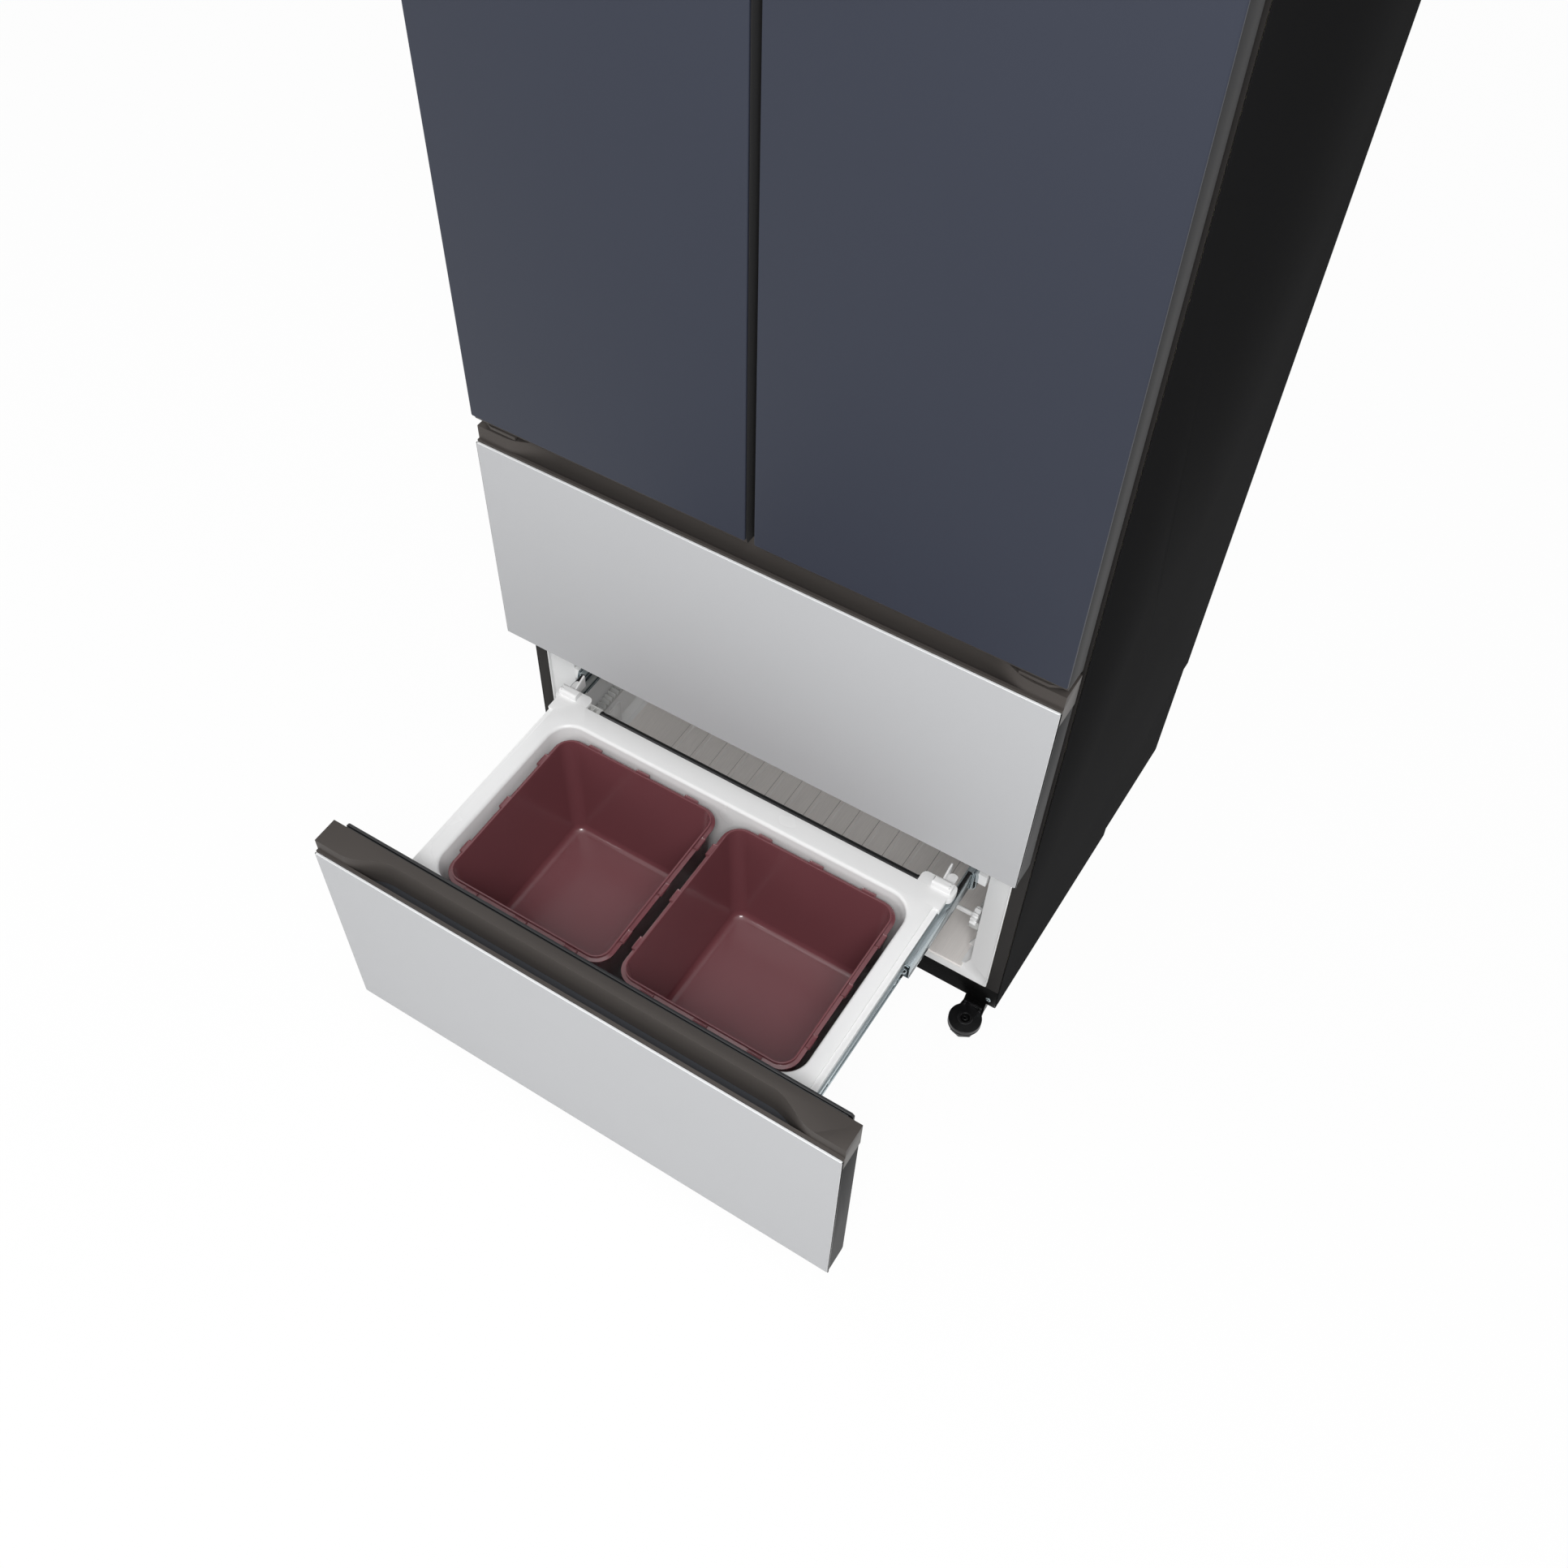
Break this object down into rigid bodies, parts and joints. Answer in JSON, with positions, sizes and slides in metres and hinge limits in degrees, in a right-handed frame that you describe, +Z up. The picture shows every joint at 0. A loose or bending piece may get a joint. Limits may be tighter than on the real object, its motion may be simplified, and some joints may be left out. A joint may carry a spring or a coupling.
{
  "type": "kimchi refrigerator",
  "caption": "Free-standing kimchi refrigerator with side-hinged doors over full-width drawers, the lower one drawn out to show its lidless food containers.",
  "frame": {"origin": "on the floor, under the middle of the outline with the lower drawer drawn out as at rest", "axes": "+Z up, +X to the right seen from the front, fronts towards -Y"},
  "size_m": [0.912, 1.1902, 1.853],
  "materials": {
    "case": "near-black satin paint on sheet steel",
    "trim": "dark brown-grey metallic",
    "base_black": "black paint",
    "door_navy": "satin navy",
    "drawer_grey": "satin light grey",
    "white_plastic": "smooth white",
    "inner_white": "vacuum-formed white",
    "floor_steel": "brushed grey-brown",
    "zinc": "zinc-plated",
    "seal": "black",
    "foam": "polyurethane foam",
    "shelf_glass": "clear",
    "galvanised": "galvanised",
    "shell_black": "black paint",
    "black_plastic": "black",
    "container_red": "translucent burgundy"
  },
  "bodies": {
    "cabinet": {"outer_case": "case", "foam_body": "foam", "back_panel": "galvanised", "front_frame": "trim", "middle_liner": "inner_white", "lower_liner": "inner_white", "middle_floor_plate": "floor_steel", "lower_floor_plate": "floor_steel", "base_plate": "base_black", "machine_cover": "galvanised", "compressor": "shell_black", "upper_left_liner": "inner_white", "upper_left_low_shelf": "shelf_glass", "upper_left_high_shelf": "shelf_glass", "left_top_hinge": "trim", "left_hinge_cover": "trim", "left_middle_hinge": "trim", "middle_left_cabinet_rail": "zinc", "lower_left_cabinet_rail": "zinc", "upper_right_liner": "inner_white", "upper_right_low_shelf": "shelf_glass", "upper_right_high_shelf": "shelf_glass", "right_top_hinge": "trim", "right_hinge_cover": "trim", "right_middle_hinge": "trim", "middle_right_cabinet_rail": "zinc", "lower_right_cabinet_rail": "zinc"},
    "middle_drawer": {"middle_front_panel": "drawer_grey", "middle_front_body": "trim", "middle_handle_cap": "trim", "middle_inner_plate": "inner_white", "middle_gasket": "seal", "middle_bin": "white_plastic"},
    "middle_slides": {"middle_left_sliding_rail": "zinc", "middle_right_sliding_rail": "zinc"},
    "middle_cross_shaft": {"middle_sync_shaft": "shell_black"},
    "lower_drawer": {"lower_front_panel": "drawer_grey", "lower_front_body": "trim", "lower_handle_cap": "trim", "lower_inner_plate": "inner_white", "lower_gasket": "seal", "lower_bin": "white_plastic", "left_container": "container_red", "right_container": "container_red"},
    "lower_slides": {"lower_left_sliding_rail": "zinc", "lower_right_sliding_rail": "zinc"},
    "lower_cross_shaft": {"lower_sync_shaft": "shell_black"},
    "left_door": {"left_door_panel": "door_navy", "left_door_frame": "trim", "left_door_liner": "inner_white", "left_door_gasket": "seal"},
    "left_foot": {"front_left_foot": "black_plastic"},
    "left_roller": {"rear_left_roller": "black_plastic"},
    "right_door": {"right_door_panel": "door_navy", "right_door_frame": "trim", "right_door_liner": "inner_white", "right_door_gasket": "seal"},
    "right_foot": {"front_right_foot": "black_plastic"},
    "right_roller": {"rear_right_roller": "black_plastic"},
    "fan": {"condenser_fan": "black_plastic"}
  },
  "joints": [
    {"name": "left_door_hinge", "type": "hinge", "parent": "cabinet", "child": "left_door", "pos_m": [-0.436, -0.08885, 1.372], "axis": [0, 0, -1], "range_deg": [0, 115]},
    {"name": "right_door_hinge", "type": "hinge", "parent": "cabinet", "child": "right_door", "pos_m": [0.436, -0.08885, 1.372], "axis": [0, 0, 1], "range_deg": [0, 115]},
    {"name": "middle_drawer_slide", "type": "slide", "parent": "cabinet", "child": "middle_drawer", "axis": [0, -1, 0], "range_m": [0, 0.49]},
    {"name": "lower_drawer_slide", "type": "slide", "parent": "cabinet", "child": "lower_drawer", "axis": [0, -1, 0], "range_m": [-0.4793, 0.0107]},
    {"name": "middle_slides_slide", "type": "slide", "parent": "cabinet", "child": "middle_slides", "axis": [0, -1, 0], "range_m": [0, 0.245]},
    {"name": "middle_cross_shaft_spin", "type": "hinge", "parent": "middle_drawer", "child": "middle_cross_shaft", "pos_m": [0, 0.45215, 0.6618], "axis": [1, 0, 0], "range_deg": [0, 2080.6]},
    {"name": "lower_slides_slide", "type": "slide", "parent": "cabinet", "child": "lower_slides", "axis": [0, -1, 0], "range_m": [-0.23965, 0.00535]},
    {"name": "lower_cross_shaft_spin", "type": "hinge", "parent": "lower_drawer", "child": "lower_cross_shaft", "pos_m": [0, -0.02715, 0.2309], "axis": [1, 0, 0], "range_deg": [-2035.2, 46.4]},
    {"name": "left_foot_turn", "type": "hinge", "parent": "cabinet", "child": "left_foot", "pos_m": [-0.4205, -0.08945, 0.02], "axis": [0, 0, 1], "continuous": true},
    {"name": "left_roller_spin", "type": "hinge", "parent": "cabinet", "child": "left_roller", "pos_m": [-0.42, 0.54915, 0.02], "axis": [1, 0, 0], "continuous": true},
    {"name": "right_foot_turn", "type": "hinge", "parent": "cabinet", "child": "right_foot", "pos_m": [0.4205, -0.08945, 0.02], "axis": [0, 0, 1], "continuous": true},
    {"name": "right_roller_spin", "type": "hinge", "parent": "cabinet", "child": "right_roller", "pos_m": [0.42, 0.54915, 0.02], "axis": [1, 0, 0], "continuous": true},
    {"name": "fan_spin", "type": "hinge", "parent": "cabinet", "child": "fan", "pos_m": [0.0857, 0.52115, 0.1163], "axis": [1, 0, 0], "continuous": true}
  ],
  "couplings": [
    {"joint": "middle_slides_slide", "follows": "middle_drawer_slide", "ratio": 0.5},
    {"joint": "middle_cross_shaft_spin", "follows": "middle_drawer_slide", "rad_per_m": 74.074},
    {"joint": "lower_slides_slide", "follows": "lower_drawer_slide", "ratio": 0.5},
    {"joint": "lower_cross_shaft_spin", "follows": "lower_drawer_slide", "rad_per_m": 74.074}
  ]
}
